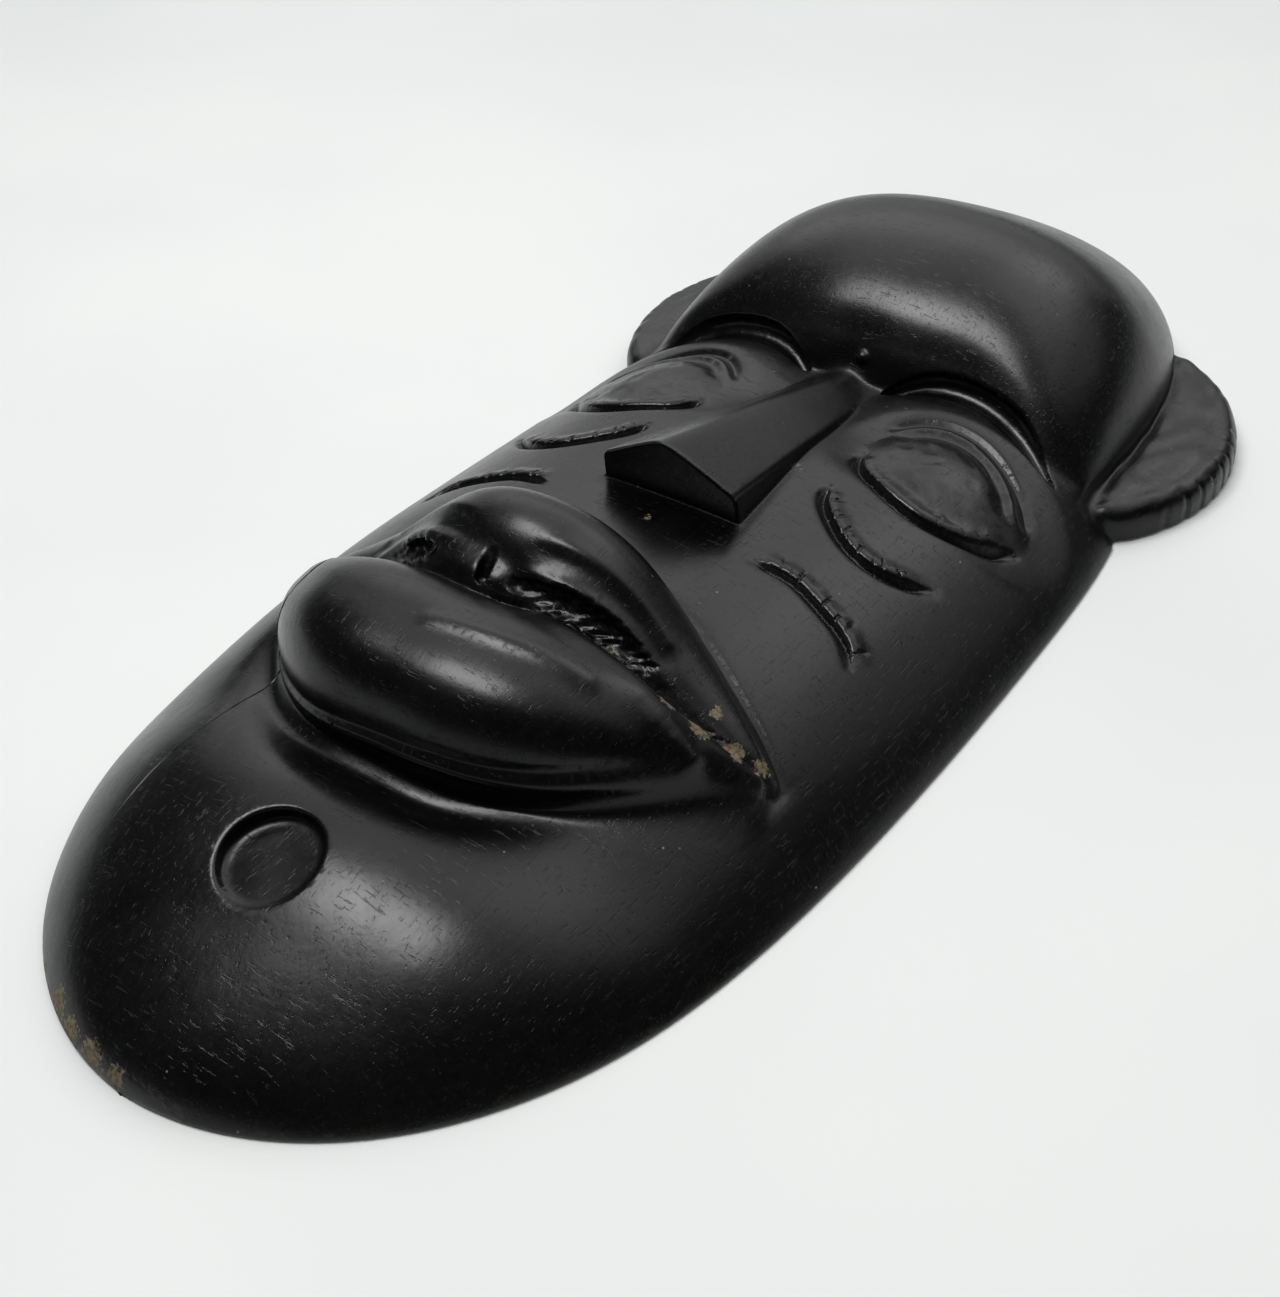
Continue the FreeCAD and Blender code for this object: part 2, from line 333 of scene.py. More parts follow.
def lipRelief(x, y, z):
    # beads stand proud along the upper lip, with a soft channel between them
    out = np.zeros(x.shape)
    ax = np.abs(x)
    near = (ax < 34) & (y > -70) & (y < -48) & (z > 22)
    if near.any():
        spot = (ax[near], y[near], z[near])
        thin = np.zeros(len(mouth["bead"]))
        bead, channel, shoulder = (tubeDistance(*spot, mouth[key], thin) for key in ("bead", "channel", "shoulder"))
        relief = 0.55 * bell(channel, 2.0) - 0.6 * bell(bead, 1.1) - 0.3 * bell(shoulder, 1.5)
        out[near] = relief * fade((ax[near] - 3) / 7)
    near = (x > -4) & (x < 32) & (y > -88) & (y < -68) & (z > 28)
    if near.any():
        spot = (x[near], y[near], z[near])
        ridge = tubeDistance(*spot, mouth["ridge"], np.zeros(len(mouth["ridge"])))
        out[near] -= 0.4 * bell(ridge, 1.6) * fade((spot[0] + 3) / 6)
    return out


# eyes: lines drawn in plan on the right half of the face
eyes = {
    "brow": curveThrough([(8, 43.2, 18.2), (15, 46.6, 22.4), (25, 47.8, 23.2),
                          (35, 46.8, 20.2), (42, 44.2, 15.6), (47.5, 41.0, 11.2)], 14),
    "browRadii": np.interp(np.linspace(0, 1, 15), [0, 0.25, 0.65, 1], [1.0, 2.4, 2.5, 0.4]),
    "lidLine": curveThrough([(18.3, 19.5), (18.8, 17), (25.6, 11.3), (35, 9), (41.5, 11), (48, 17.5), (49.5, 20)]),
    "lidFold": curveThrough([(16.6, 29), (21, 35), (26, 38), (33, 38.6), (39.5, 36.2), (45.5, 31), (49.5, 25.5)]),
    "bagLine": curveThrough([(20.0, 4.5), (20.6, 1.7), (25, -4), (34.5, -9), (40, -8), (45.4, -3.7)]),
    "cheekLine": curveThrough([(22.4, -24), (29.5, -23.3), (35.7, -25), (43, -28), (45.4, -31)]),
    "ball": (34.0, 23.0), "ballRadii": (16.5, 13.5), "ballRise": 2.2,
}


def carvedLine(x, y, line, depth, width, hatch, phase):
    # a V groove with a steep side, a raised lip beside it, and short cross cuts on that lip
    away, where, side, total = nearLine(x, y, line)
    ends = fade(where / 3.0) * fade((total - where) / 5.0)
    signed = away * side
    groove = depth * bell(np.where(signed > 0, away * 1.5, away * 0.75), width) * (0.2 + 0.8 * ends)
    raised = -0.45 * bell(signed - 1.9, 1.4) * ends
    strokes = np.clip(np.sin(where * 2.8 + 0.9 * signed + phase + 2.2 * np.sin(where * 0.7 + phase)), 0, 1) ** 2
    strokes = strokes * (0.55 + 0.45 * np.sin(where * 1.3 + 2 * phase))
    return groove + raised + hatch * strokes * bell(signed - 2.0, 1.5) * ends


def eyeRelief(x, y, z):
    # millimetres cut away below the smooth face; negative where it is left standing
    ax = np.abs(x)
    out = np.zeros(x.shape)
    near = (ax > 8) & (ax < 60) & (y > -42) & (y < 50) & (z > 3)
    if not near.any():
        return out
    xs, ys = ax[near], y[near]
    phase = np.where(x[near] < 0, 2.0, 0.0)
    deep = carvedLine(xs, ys, eyes["lidLine"], 1.7, 0.85, 0.12, phase)
    deep += carvedLine(xs, ys, eyes["bagLine"], 1.6, 0.85, 0.4, phase + 1)
    deep += carvedLine(xs, ys, eyes["cheekLine"], 1.4, 0.8, 0.55, phase + 2)
    away, where, side, total = nearLine(xs, ys, eyes["lidFold"])
    signed = -away * side  # positive above the fold
    along = fade(where / 5.0) * fade((total - where) / 4.0)
    deep += along * (0.8 * bell(signed, 1.1) + 0.6 * bell(signed - 4.2, 1.6) - 0.4 * bell(signed - 2.1, 1.3))
    u, v = (xs - eyes["ball"][0]) / eyes["ballRadii"][0], (ys - eyes["ball"][1]) / eyes["ballRadii"][1]
    r2 = u * u + v * v
    deep -= eyes["ballRise"] * np.clip(1 - r2, 0, 1) ** 1.1
    deep += 1.1 * fade((2.3 - r2) / 1.5) * fade((ys - 8) / 8)
    pits = np.clip(np.sin(xs * 0.8 + 2 * np.sin(ys * 0.4 + phase)) * np.sin(ys * 0.7 + 1.5 * np.sin(xs * 0.5)), 0, 1)
    deep += 0.16 * pits * fade((0.8 - r2) / 0.3)
    out[near] = deep
    return out


chin = {"dimpleY": -117.0, "dimpleZ": 19.6, "dimpleRadius": 8.2, "dimpleDepth": 2.0, "dimpleTilt": math.radians(17),
        "floorSlope": (-0.08, 0.12), "rimSoftness": 1.7}


def dimpleDistance(x, y, z):
    c, s = math.cos(chin["dimpleTilt"]), math.sin(chin["dimpleTilt"])
    v = (y - chin["dimpleY"]) * c + (z - chin["dimpleZ"]) * s
    w = -(y - chin["dimpleY"]) * s + (z - chin["dimpleZ"]) * c
    dents = 0.10 * np.sin(x * 0.45 + 1.0) * np.sin(v * 0.38 + 0.6) + 0.02 * np.sin(x * 1.3 - v * 0.9)
    slope = chin["floorSlope"][1] * v + chin["floorSlope"][0] * x  # the floor lies flatter than the skin around it
    level = w + chin["dimpleDepth"] + slope + dents
    return smoothMax(np.hypot(x, v) - chin["dimpleRadius"], -level, chin["rimSoftness"])


ears = {"rootX": 30.0, "middleY": 75.5, "radius": 38.0, "stretch": 0.94, "thickness": 8.0, "bottomY": 36.5}


def earDistance(x, y, z):
    ax = np.abs(x)
    outline = np.hypot(np.clip(ax - ears["rootX"], 0, None), (y - ears["middleY"]) * ears["stretch"]) - ears["radius"]
    turn = np.arctan2(y - ears["middleY"], ax - ears["rootX"])
    outline = outline + 0.3 * np.clip(np.sin(turn * 46 + 2 * np.sin(turn * 5)), 0, 1) ** 2 * fade((ax - 62) / 3)
    chops = 0.22 * np.sin(turn * 9 + 1.5 * np.sin(ax * 0.5)) * np.sin(ax * 0.55 + 1.5 * np.sin(y * 0.21))
    chops = chops + 0.25 * bell(outline + 4.5, 1.3)
    ear = smoothMax(outline, z - ears["thickness"] + 0.05 * (ax - 50) + chops, 4.5)
    return smoothMax(ear, ears["bottomY"] - y, 2.0)


back = {"depth": 10.0, "chinY": -112.0, "browY": 74.0, "recessY": (70.0, 125.0), "recessHalfWidth": 11.0}
hollowWidthAt = splineThrough([-112, -103, -90, -75, -58, -22, 0, 20, 38, 58, 74],
                              [30.5, 39.5, 43.5, 45.5, 47, 47.5, 47, 43.5, 37, 32, 27])


def hollowLevel(x, y, z):
    ends = np.clip((np.abs(y - (back["browY"] + back["chinY"]) / 2) / ((back["browY"] - back["chinY"]) / 2)), 0, 1.4)
    width = hollowWidthAt(y)
    gouges = 0.05 * np.sin(x * 0.9 + 1.5 * np.sin(y * 0.16)) * np.sin(y * 0.35 + x * 0.1)
    return (np.abs(x) / width) ** 4 + (np.clip(z, 0, None) / back["depth"]) ** 2.4 + ends ** 12 - 1 + gouges


def maskDistance(x, y, z):
    ax = np.abs(x)
    face = distanceOf(faceLevel, x, y, z)
    dome = distanceOf(domeLevel, x, y, z)
    d = smoothMin(face, dome, 1.5)
    browCut = tubeDistance(ax, y, z, eyes["brow"], eyes["browRadii"])
    d = smoothMax(d, -browCut, 0.8)
    noseSkin = noseDistance(x, y, z)
    d = smoothMin(d, noseSkin, 0.6 + 2.6 * fade((y - 38) / 10))
    knobX, knobY, knobZ = nose["knob"]
    knob = np.sqrt((x - knobX) ** 2 + (y - knobY) ** 2 + (z - knobZ) ** 2) - nose["knobRadius"]
    d = smoothMin(d, knob, 1.0)
    upper = lipDistance(x, y, z, upperLip, upperSplines)
    upper = smoothMin(upper, tubeDistance(x, y, z, mouth["fill"], mouth["fillRadii"]), 3.0)
    lower = lipDistance(x, y, z, lowerLip, lowerSplines)
    d = smoothMin(d, upper, 0.8)
    lobe = tubeDistance(x, y, z, mouth["lobe"], mouth["lobeRadii"])
    lower = smoothMin(lower, lobe, 3.0)
    d = smoothMin(d, lower, 0.8 + 2.5 * fade((x - 22) / 16) * fade((-60 - y) / 6))
    # creases and the thin ledge that run round the lips
    d = d + 0.5 * bell(np.hypot(face, upper), 1.0)
    ledge = np.interp(x, lipLedge["across"], lipLedge["height"])
    chinSide = fade((-62 - y) / 6) * (1 - fade((ax - 26) / 20))
    d = d - chinSide * 0.9 * bell(np.hypot(face - ledge, lower), 1.2)
    d = d + chinSide * 0.5 * bell(np.hypot(face - ledge - 1.9, lower), 0.9)
    d = d + chinSide * (1 - 0.85 * fade((x - 8) / 22)) * 2.2 * bell(face, 4.5) * bell(lower - 2.0, 2.2)
    d = d + lipRelief(x, y, z)
    gap = tubeDistance(ax, y, z, mouth["gap"], mouth["gapRadii"])
    gap = gap + 2.2 * fade((4 - x) / 6) * (1 - 0.6 * bell(x + 17, 7.0))
    chisel = np.sin(x * 2.6 + 2.2 * np.sin(y * 1.9 + z * 1.2)) + np.sin(z * 3.3 + x * 1.1)
    chisel = chisel + np.sin(y * 3.1 - x * 1.7 + 1.8 * np.sin(z * 2.4))
    gap = gap + mouth["chisel"] * chisel
    pit = tubeDistance(x, y, z, mouth["pit"], mouth["pitRadii"])
    d = smoothMax(d, -smoothMin(gap, pit, 1.2), 0.8)
    d = smoothMax(d, -dimpleDistance(x, y, z), 0.9)
    ear = earDistance(x, y, z)
    d = smoothMin(d, ear, 0.6) + 0.5 * bell(np.hypot(d, ear), 1.2)
    d = d + eyeRelief(x, y, z)
    d = smoothMax(d, np.minimum(-distanceOf(hollowLevel, x, y, z), 8.0), 1.0)
    low = (-back["recessHalfWidth"], back["recessY"][0], -2)
    high = (back["recessHalfWidth"], back["recessY"][1], strapSeat)
    d = smoothMax(d, -boxDistance(x, y, z, low, high, 0.8), 0.5)
    return smoothMax(d, -z, 1.0)


# meshing: the carving is sampled near its surface, then its mesh is refined where it bends
detail = {"cell": 1.6, "coarse": 1.45, "fine": 0.45, "bendAngle": 12.0, "rounds": 3, "backSize": 3.2}


def sampleField(field, low, high, cell):
    low, high, block = np.asarray(low, float), np.asarray(high, float), 8
    blocks = np.ceil(np.ceil((high - low) / cell) / block).astype(int)
    shape = blocks * block + 1
    centres = [low[i] + cell * block * (np.arange(blocks[i]) + 0.5) for i in range(3)]
    grid = np.meshgrid(*centres, indexing="ij")
    rough = field(*(g.ravel() for g in grid)).reshape(grid[0].shape)
    active = np.argwhere(np.abs(rough) < cell * block * 1.6)
    corner = np.stack(np.meshgrid(*[np.arange(block + 1)] * 3, indexing="ij"), -1).reshape(-1, 3)
    index = (active[:, None, :] * block + corner[None]).reshape(-1, 3)
    flat = np.unique(np.ravel_multi_index(index.T, shape))
    volume = np.full(shape, np.nan)
    place = low + np.stack(np.unravel_index(flat, shape), 1) * cell
    for start in range(0, len(place), 300000):
        part = place[start:start + 300000]
        volume.ravel()[flat[start:start + 300000]] = field(*part.T)
    return volume


def netsMesh(volume, low, cell):
    inside, known = volume < 0, ~np.isnan(volume)
    shape = tuple(s - 1 for s in volume.shape)
    count, whole = np.zeros(shape, np.int8), np.ones(shape, bool)
    for corner in np.ndindex(2, 2, 2):
        part = tuple(slice(a, a + s) for a, s in zip(corner, shape))
        count += inside[part]
        whole &= known[part]
    live = whole & (count > 0) & (count < 8)
    cells = np.argwhere(live)
    ids = np.full(shape, -1, np.int64)
    ids[live] = np.arange(len(cells))
    total, crossings = np.zeros((len(cells), 3)), np.zeros(len(cells))
    quads = []
    for axis in range(3):
        others = [i for i in range(3) if i != axis]
        step = np.eye(3, dtype=int)[axis]
        for a, b in np.ndindex(2, 2):
            base = np.zeros(3, int)
            base[others] = a, b
            v0, v1 = volume[tuple((cells + base).T)], volume[tuple((cells + base + step).T)]
            cross = (v0 < 0) != (v1 < 0)
            t = np.where(cross, v0 / (v0 - v1 + 1e-20), 0)
            total += np.where(cross[:, None], base + step * t[:, None], 0)
            crossings += cross
        near = tuple(slice(0, -1) if i == axis else slice(None) for i in range(3))
        far = tuple(slice(1, None) if i == axis else slice(None) for i in range(3))
        edges = np.argwhere(known[near] & known[far] & (inside[near] != inside[far]))
        for i in others:
            edges = edges[(edges[:, i] > 0) & (edges[:, i] < shape[i])]
        ring = []
        for a, b in ((-1, -1), (0, -1), (0, 0), (-1, 0)):
            cell4 = edges.copy()
            cell4[:, others[0]] += a
            cell4[:, others[1]] += b
            ring.append(ids[tuple(cell4.T)])
        ring = np.stack(ring, 1)
        forward = inside[tuple(edges.T)] != (axis == 1)
        quads.append(np.where(forward[:, None], ring, ring[:, ::-1]))
    points = low + (cells + total / crossings[:, None]) * cell
    quads = np.concatenate(quads)
    quads = quads[(quads >= 0).all(1)]
    return points, np.concatenate([quads[:, [0, 1, 2]], quads[:, [0, 2, 3]]])


def settle(field, points, rounds, e=0.03, limit=0.6):
    # moves points onto the surface and returns them with their normals
    for _ in range(rounds):
        x, y, z = points.T
        g = field(x, y, z)
        slope = np.stack([field(x + e, y, z) - g, field(x, y + e, z) - g, field(x, y, z + e) - g], 1) / e
        size = np.linalg.norm(slope, axis=1) + 1e-9
        points = points - slope * (np.clip(g / size, -limit, limit) / size)[:, None]
    return points, slope / size[:, None]


def splitEdges(points, normals, triangles, choose):
    # choose says which edges to divide and where
    edges = np.sort(np.concatenate([triangles[:, [0, 1]], triangles[:, [1, 2]], triangles[:, [2, 0]]]), 1)
    edges, inverse = np.unique(edges, axis=0, return_inverse=True)
    inverse = inverse.reshape(3, -1).T
    mark, place = choose(points[edges[:, 0]], points[edges[:, 1]], normals[edges[:, 0]], normals[edges[:, 1]])
    new = np.full(len(edges), -1)
    new[mark] = len(points) + np.arange(mark.sum())
    mid = new[inverse]
    count = (mid >= 0).sum(1)
    out = [triangles[count == 0]]
    t, q = triangles[count == 3], mid[count == 3]
    out += [np.stack([t[:, i], q[:, i], q[:, i - 1]], 1) for i in range(3)] + [q]
    for r in range(3):
        i, j, k = r, (r + 1) % 3, (r + 2) % 3
        one = (count == 1) & (mid[:, r] >= 0)
        t, q = triangles[one], mid[one][:, r]
        out += [np.stack([t[:, i], q, t[:, k]], 1), np.stack([q, t[:, j], t[:, k]], 1)]
        two = (count == 2) & (mid[:, k] < 0)
        t, q, p = triangles[two], mid[two][:, i], mid[two][:, j]
        out += [np.stack([q, t[:, j], p], 1), np.stack([t[:, i], q, p], 1), np.stack([t[:, i], p, t[:, k]], 1)]
    return np.concatenate([points, place[mark]]), np.concatenate(out)


def whereItBends(a, b, normalA, normalB):
    middle, length = (a + b) / 2, np.linalg.norm(a - b, axis=1)
    bend = np.degrees(np.arccos(np.clip((normalA * normalB).sum(1), -1, 1)))
    size = np.where(middle[:, 2] < 1.2, detail["backSize"], detail["coarse"])
    return (length > 1.3 * size) | ((bend > detail["bendAngle"]) & (length > detail["fine"] * 1.35)), middle


def alongSeam(a, b, normalA, normalB):
    t = (seamX - a[:, 0]) / np.where(a[:, 0] == b[:, 0], 1, b[:, 0] - a[:, 0])
    place = a + (b - a) * t[:, None]
    place[:, 0] = seamX
    return (a[:, 0] - seamX) * (b[:, 0] - seamX) < 0, place


def carveMesh():
    low, high = (-76, -154, -4), (76, 154, 56)
    volume = sampleField(maskDistance, low, high, detail["cell"])
    points, triangles = netsMesh(volume, low, detail["cell"])
    points, normals = settle(maskDistance, points, 4)
    for _ in range(detail["rounds"]):
        points, triangles = splitEdges(points, normals, triangles, whereItBends)
        points, normals = settle(maskDistance, points, 2)
    points[np.abs(points[:, 0] - seamX) < 0.08, 0] = seamX
    points, triangles = splitEdges(points, normals, triangles, alongSeam)
    return points, settle(maskDistance, points, 1)[1], triangles


# end of the carving
points, normals, triangles = carveMesh()
print("carving meshed:", len(points), "points,", len(triangles), "triangles")


def measureWear(points, normals):
    # how far a point sits in a cut, and how far it stands out on an edge
    reach = 1.6
    cut = np.clip((reach - maskDistance(*(points + normals * reach).T)) / reach, 0, 1)
    edge = np.clip((reach + maskDistance(*(points - normals * reach).T)) / reach, 0, 1)
    return cut, edge


# bare wood shows where the stain has chipped: middle of each patch, its radius, how bare it is
chips = [
    ((21.0, -62.4, 30.5), 2.4, 0.6), ((27.5, -63.5, 29.0), 2.6, 0.6), ((33.5, -66.0, 27.5), 2.8, 0.85),
    ((38.5, -64.5, 24.0), 3.2, 0.95), ((43.0, -61.5, 19.5), 3.0, 0.95), ((46.5, -59.0, 16.5), 2.4, 0.8),
    ((38.0, -58.2, 23.0), 1.8, 0.9), ((7.0, -27.5, 26.0), 1.6, 0.6), ((1.0, -25.0, 26.0), 2.0, 0.7),
    ((11.9, 5.5, 24.0), 3.0, 0.6), ((11.0, 14.0, 21.0), 3.0, 0.5), ((-19.0, -145.0, 2.0), 3.6, 1.0),
    ((-13.0, -146.5, 1.5), 3.6, 1.0), ((-7.0, -148.0, 2.0), 3.4, 0.9), ((-1.0, -149.0, 2.0), 3.0, 0.8),
    ((-27.0, -141.5, 2.0), 3.0, 0.7), ((59.5, 50.2, 3.0), 2.5, 0.5), ((-48.0, 40.0, 12.0), 2.5, 0.3),
    ((24.0, -91.0, 24.0), 2.0, 0.45), ((50.0, -62.0, 17.0), 1.6, 0.5),
]


def bareWood(points):
    bare = np.zeros(len(points))
    for middle, radius, amount in chips:
        away = np.linalg.norm(points - np.array(middle), axis=1)
        bare = np.maximum(bare, amount * bell(away, radius))
    return bare


cutDepth, edgeWear = measureWear(points, normals)
bareness = bareWood(points)


def shellObject(name, keep, gapSide):
    # one side of the glue line: its own skin, capped with a flat face where it was glued
    part = triangles[keep]
    used, part = np.unique(part, return_inverse=True)
    part = part.reshape(-1, 3)
    place = points[used].copy()
    onSeam = place[:, 0] == seamX
    opened = fade((-62 - place[:, 1]) / 6) * fade((place[:, 1] + 134) / 6) * fade((place[:, 2] - 11) / 2)
    place[onSeam, 0] += gapSide * 0.13 * opened[onSeam]
    mesh = bpy.data.meshes.new(name)
    mesh.vertices.add(len(place))
    mesh.vertices.foreach_set("co", (place * mm).ravel())
    mesh.loops.add(len(part) * 3)
    mesh.loops.foreach_set("vertex_index", part.ravel())
    mesh.polygons.add(len(part))
    mesh.polygons.foreach_set("loop_start", np.arange(0, len(part) * 3, 3))
    mesh.update(calc_edges=True)
    for label, values in (("cut", cutDepth), ("edge", edgeWear), ("bare", bareness)):
        mesh.attributes.new(label, "FLOAT", "POINT").data.foreach_set("value", values[used].astype(np.float32))
    bm = bmesh.new()
    bm.from_mesh(mesh)
    rim = [e for e in bm.edges if e.is_boundary]
    bmesh.ops.triangle_fill(bm, use_beauty=True, use_dissolve=False, edges=rim, normal=(-gapSide, 0, 0))
    for face in bm.faces:
        face.smooth = True
    bm.to_mesh(mesh)
    bm.free()
    mesh.normals_split_custom_set_from_vertices(normals[used])
    piece = bpy.data.objects.new(name, mesh)
    bpy.context.scene.collection.objects.link(piece)
    print(name, len(mesh.polygons), "faces")
    return piece


middleX = points[triangles][:, :, 0].mean(1)
carvedBlock = shellObject("carvedBlock", middleX > seamX, 1)
gluedStrip = shellObject("gluedStrip", middleX < seamX, -1)


class Shade:
    # one output socket of a shader; values take Math nodes, vectors Vector Math, colours Mix
    def __init__(self, tree, socket):
        self.tree, self.socket = tree, socket

    def node(self, kind, settings=None, inputs=None, out=0):
        made = self.tree.nodes.new("ShaderNode" + kind)
        for name, value in (settings or {}).items():
            if name == "stops":
                ramp = made.color_ramp
                while len(ramp.elements) < len(value):
                    ramp.elements.new(0.5)
                for stop, (at, colour) in zip(ramp.elements, value):
                    stop.position, stop.color = at, colour
            else:
                setattr(made, name, value)
        for name, value in (inputs or {}).items():
            if isinstance(value, Shade):
                self.tree.links.new(value.socket, made.inputs[name])
            else:
                made.inputs[name].default_value = value
        return Shade(self.tree, made.outputs[out])

    def calculate(self, operation, other, swap=False, clamp=False):
        first, second = (other, self) if swap else (self, other)
        if self.socket.type == "VECTOR":
            if operation == "MULTIPLY" and isinstance(other, (int, float)):
                return self.node("VectorMath", {"operation": "SCALE"}, {0: self, "Scale": other})
            return self.node("VectorMath", {"operation": operation}, {0: first, 1: second})
        return self.node("Math", {"operation": operation, "use_clamp": clamp}, {0: first, 1: second})

    def __add__(self, other): return self.calculate("ADD", other)
    def __radd__(self, other): return self.calculate("ADD", other, True)
    def __sub__(self, other): return self.calculate("SUBTRACT", other)
    def __rsub__(self, other): return self.calculate("SUBTRACT", other, True)
    def __mul__(self, other): return self.calculate("MULTIPLY", other)
    def __rmul__(self, other): return self.calculate("MULTIPLY", other, True)
    def __truediv__(self, other): return self.calculate("DIVIDE", other)
    def __rtruediv__(self, other): return self.calculate("DIVIDE", other, True)
    def __pow__(self, other): return self.calculate("POWER", other)

    def clamp(self):
        return self.calculate("ADD", 0.0, clamp=True)

    def above(self, low, high):
        # 0 below low, 1 above high, smooth between
        return self.node("MapRange", {"interpolation_type": "SMOOTHSTEP"},
                         {"Value": self, "From Min": low, "From Max": high})

    def tint(self, dark, light):
        return self.node("Mix", {"data_type": "RGBA"}, {0: self, 6: dark, 7: light}, out=2)

    def noise(self, size, detail=4, roughness=0.55, distortion=0.0):
        return self.node("TexNoise", None, {"Vector": self, "Scale": 1 / size, "Detail": detail,
                                            "Roughness": roughness, "Distortion": distortion})

    def stretched(self, x, y, z):
        return self.node("Mapping", None, {"Vector": self, "Scale": (x, y, z)})


def newMaterial(name):
    material = bpy.data.materials.new(name)
    material.use_nodes = True
    tree = material.node_tree
    shader = tree.nodes["Principled BSDF"]
    coordinates = tree.nodes.new("ShaderNodeTexCoord")
    place = Shade(tree, coordinates.outputs["Object"]) * (1 / mm)  # millimetres on the piece
    return material, tree, shader, place


def connect(shader, tree, links):
    for name, value in links.items():
        if isinstance(value, Shade):
            tree.links.new(value.socket, shader.inputs[name])
        else:
            shader.inputs[name].default_value = value


wood = {
    "dark": (0.0012, 0.0013, 0.0016, 1), "light": (0.0048, 0.0048, 0.0048, 1), "worn": (0.014, 0.012, 0.010, 1),
    "bare": (0.085, 0.065, 0.038, 1), "bareLight": (0.19, 0.155, 0.10, 1), "dust": (0.20, 0.195, 0.18, 1),
    "roughness": 0.30, "coat": 0.18, "coatRoughness": 0.22,
}


def ebonisedWood():
    material, tree, shader, place = newMaterial("ebonisedWood")

    def attribute(name):
        return place.node("Attribute", {"attribute_name": name}, None, out=2)

    cut, edge, bare = attribute("cut"), attribute("edge"), attribute("bare")
    grain = place.stretched(1, 0.07, 1).noise(0.9, 5, 0.6, 0.3)
    figure = place.stretched(1, 0.18, 1).noise(14, 3, 0.5, 0.6)
    clouds = place.noise(28, 3, 0.5)
    smudge = place.noise(9, 4, 0.6, 0.4)
    scratches = place.stretched(0.35, 2.6, 1.2).noise(1.5, 3, 0.7).above(0.60, 0.72)
    fineScratches = place.stretched(2.4, 0.25, 1.6).noise(1.1, 2, 0.7).above(0.60, 0.74)
    specks = place.node("TexVoronoi", None, {"Vector": place, "Scale": 0.30}, out=0)
    speckSize = place.noise(7, 2, 0.5)
    dustSpeck = 1 - specks.above(0.035, 0.075)
    dustSpeck = dustSpeck * speckSize.above(0.55, 0.61)
    crumbs = place.noise(0.7, 3, 0.7)
    tone = (grain * 0.45 + figure * 0.35 + clouds * 0.35).above(0.38, 0.80)
    colour = tone.tint(wood["dark"], wood["light"])
    worn = edge.above(0.32, 0.75) * smudge.above(0.42, 0.62)
    colour = place.node("Mix", {"data_type": "RGBA"}, {0: worn * 0.8, 6: colour, 7: wood["worn"]}, out=2)
    dusty = cut.above(0.25, 0.8) * crumbs.above(0.56, 0.72) * 0.5
    bareMask = (bare + (crumbs - 0.5) * 0.9 + (smudge - 0.5) * 0.5).above(0.52, 0.62) * bare.above(0.08, 0.2)
    bareTone = crumbs.above(0.35, 0.7).tint(wood["bare"], wood["bareLight"])
    colour = place.node("Mix", {"data_type": "RGBA"}, {0: bareMask, 6: colour, 7: bareTone}, out=2)
    dust = (dustSpeck * 0.8 + dusty * 0.25).clamp()
    colour = place.node("Mix", {"data_type": "RGBA"}, {0: dust, 6: colour, 7: wood["dust"]}, out=2)
    rough = wood["roughness"] + (clouds - 0.5) * 0.16 + (smudge - 0.5) * 0.14 + (grain - 0.5) * 0.10
    rough = (rough + cut * 0.22 + bareMask * 0.4 + dustSpeck * 0.3).clamp()
    height = grain * 0.06 + smudge * 0.32 + fineScratches * -0.08 + scratches * -0.10 + figure * 0.18
    height = height + bareMask * (crumbs - 1.0) * 0.25 + cut.above(0.2, 0.7) * crumbs * 0.35 + dustSpeck * 0.06
    bump = place.node("Bump", None, {"Height": height, "Strength": 1.0, "Distance": 0.35 * mm})
    connect(shader, tree, {
        "Base Color": colour, "Roughness": rough, "Normal": bump, "IOR": 1.44,
        "Coat Weight": wood["coat"], "Coat Roughness": wood["coatRoughness"],
    })
    return material


def hangerMetal(name, base, stain, roughness, brush):
    material, tree, shader, place = newMaterial(name)
    stains = place.noise(3.0, 5, 0.6, 0.5)
    brushed = place.stretched(*brush).noise(0.35, 3, 0.6)
    pits = place.noise(0.6, 4, 0.7)
    dull = stains.above(0.48, 0.66)
    colour = dull.tint(base, stain)
    rough = (roughness + dull * 0.25 + (brushed - 0.5) * 0.2).clamp()
    height = brushed * 0.03 + pits * 0.05 + dull * 0.02
    bump = place.node("Bump", None, {"Height": height, "Strength": 1.0, "Distance": 0.15 * mm})
    connect(shader, tree, {"Base Color": colour, "Metallic": 1 - dull * 0.5, "Roughness": rough, "Normal": bump})
    return material


ebonised = ebonisedWood()
for piece, node in ((carvedBlock, "face_block"), (gluedStrip, "side_strip")):
    piece.data.materials.append(ebonised)
    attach(piece, "mask")
    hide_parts(node)

metals = {
    "hanger_strap": hangerMetal("zincStrap", (0.55, 0.55, 0.53, 1), (0.20, 0.15, 0.10, 1), 0.34, (0.3, 3, 1)),
    "hanger_ring": hangerMetal("ringWire", (0.60, 0.50, 0.30, 1), (0.22, 0.14, 0.07, 1), 0.30, (3, 0.5, 1)),
    "hanger_screw_1": hangerMetal("screwSteel", (0.50, 0.50, 0.50, 1), (0.16, 0.10, 0.06, 1), 0.36, (1, 1, 1)),
}
metals["hanger_screw_2"] = metals["hanger_screw_1"]
for node, metal in metals.items():
    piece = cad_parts[node]
    piece.data.materials.clear()
    piece.data.materials.append(metal)
print("materials done")

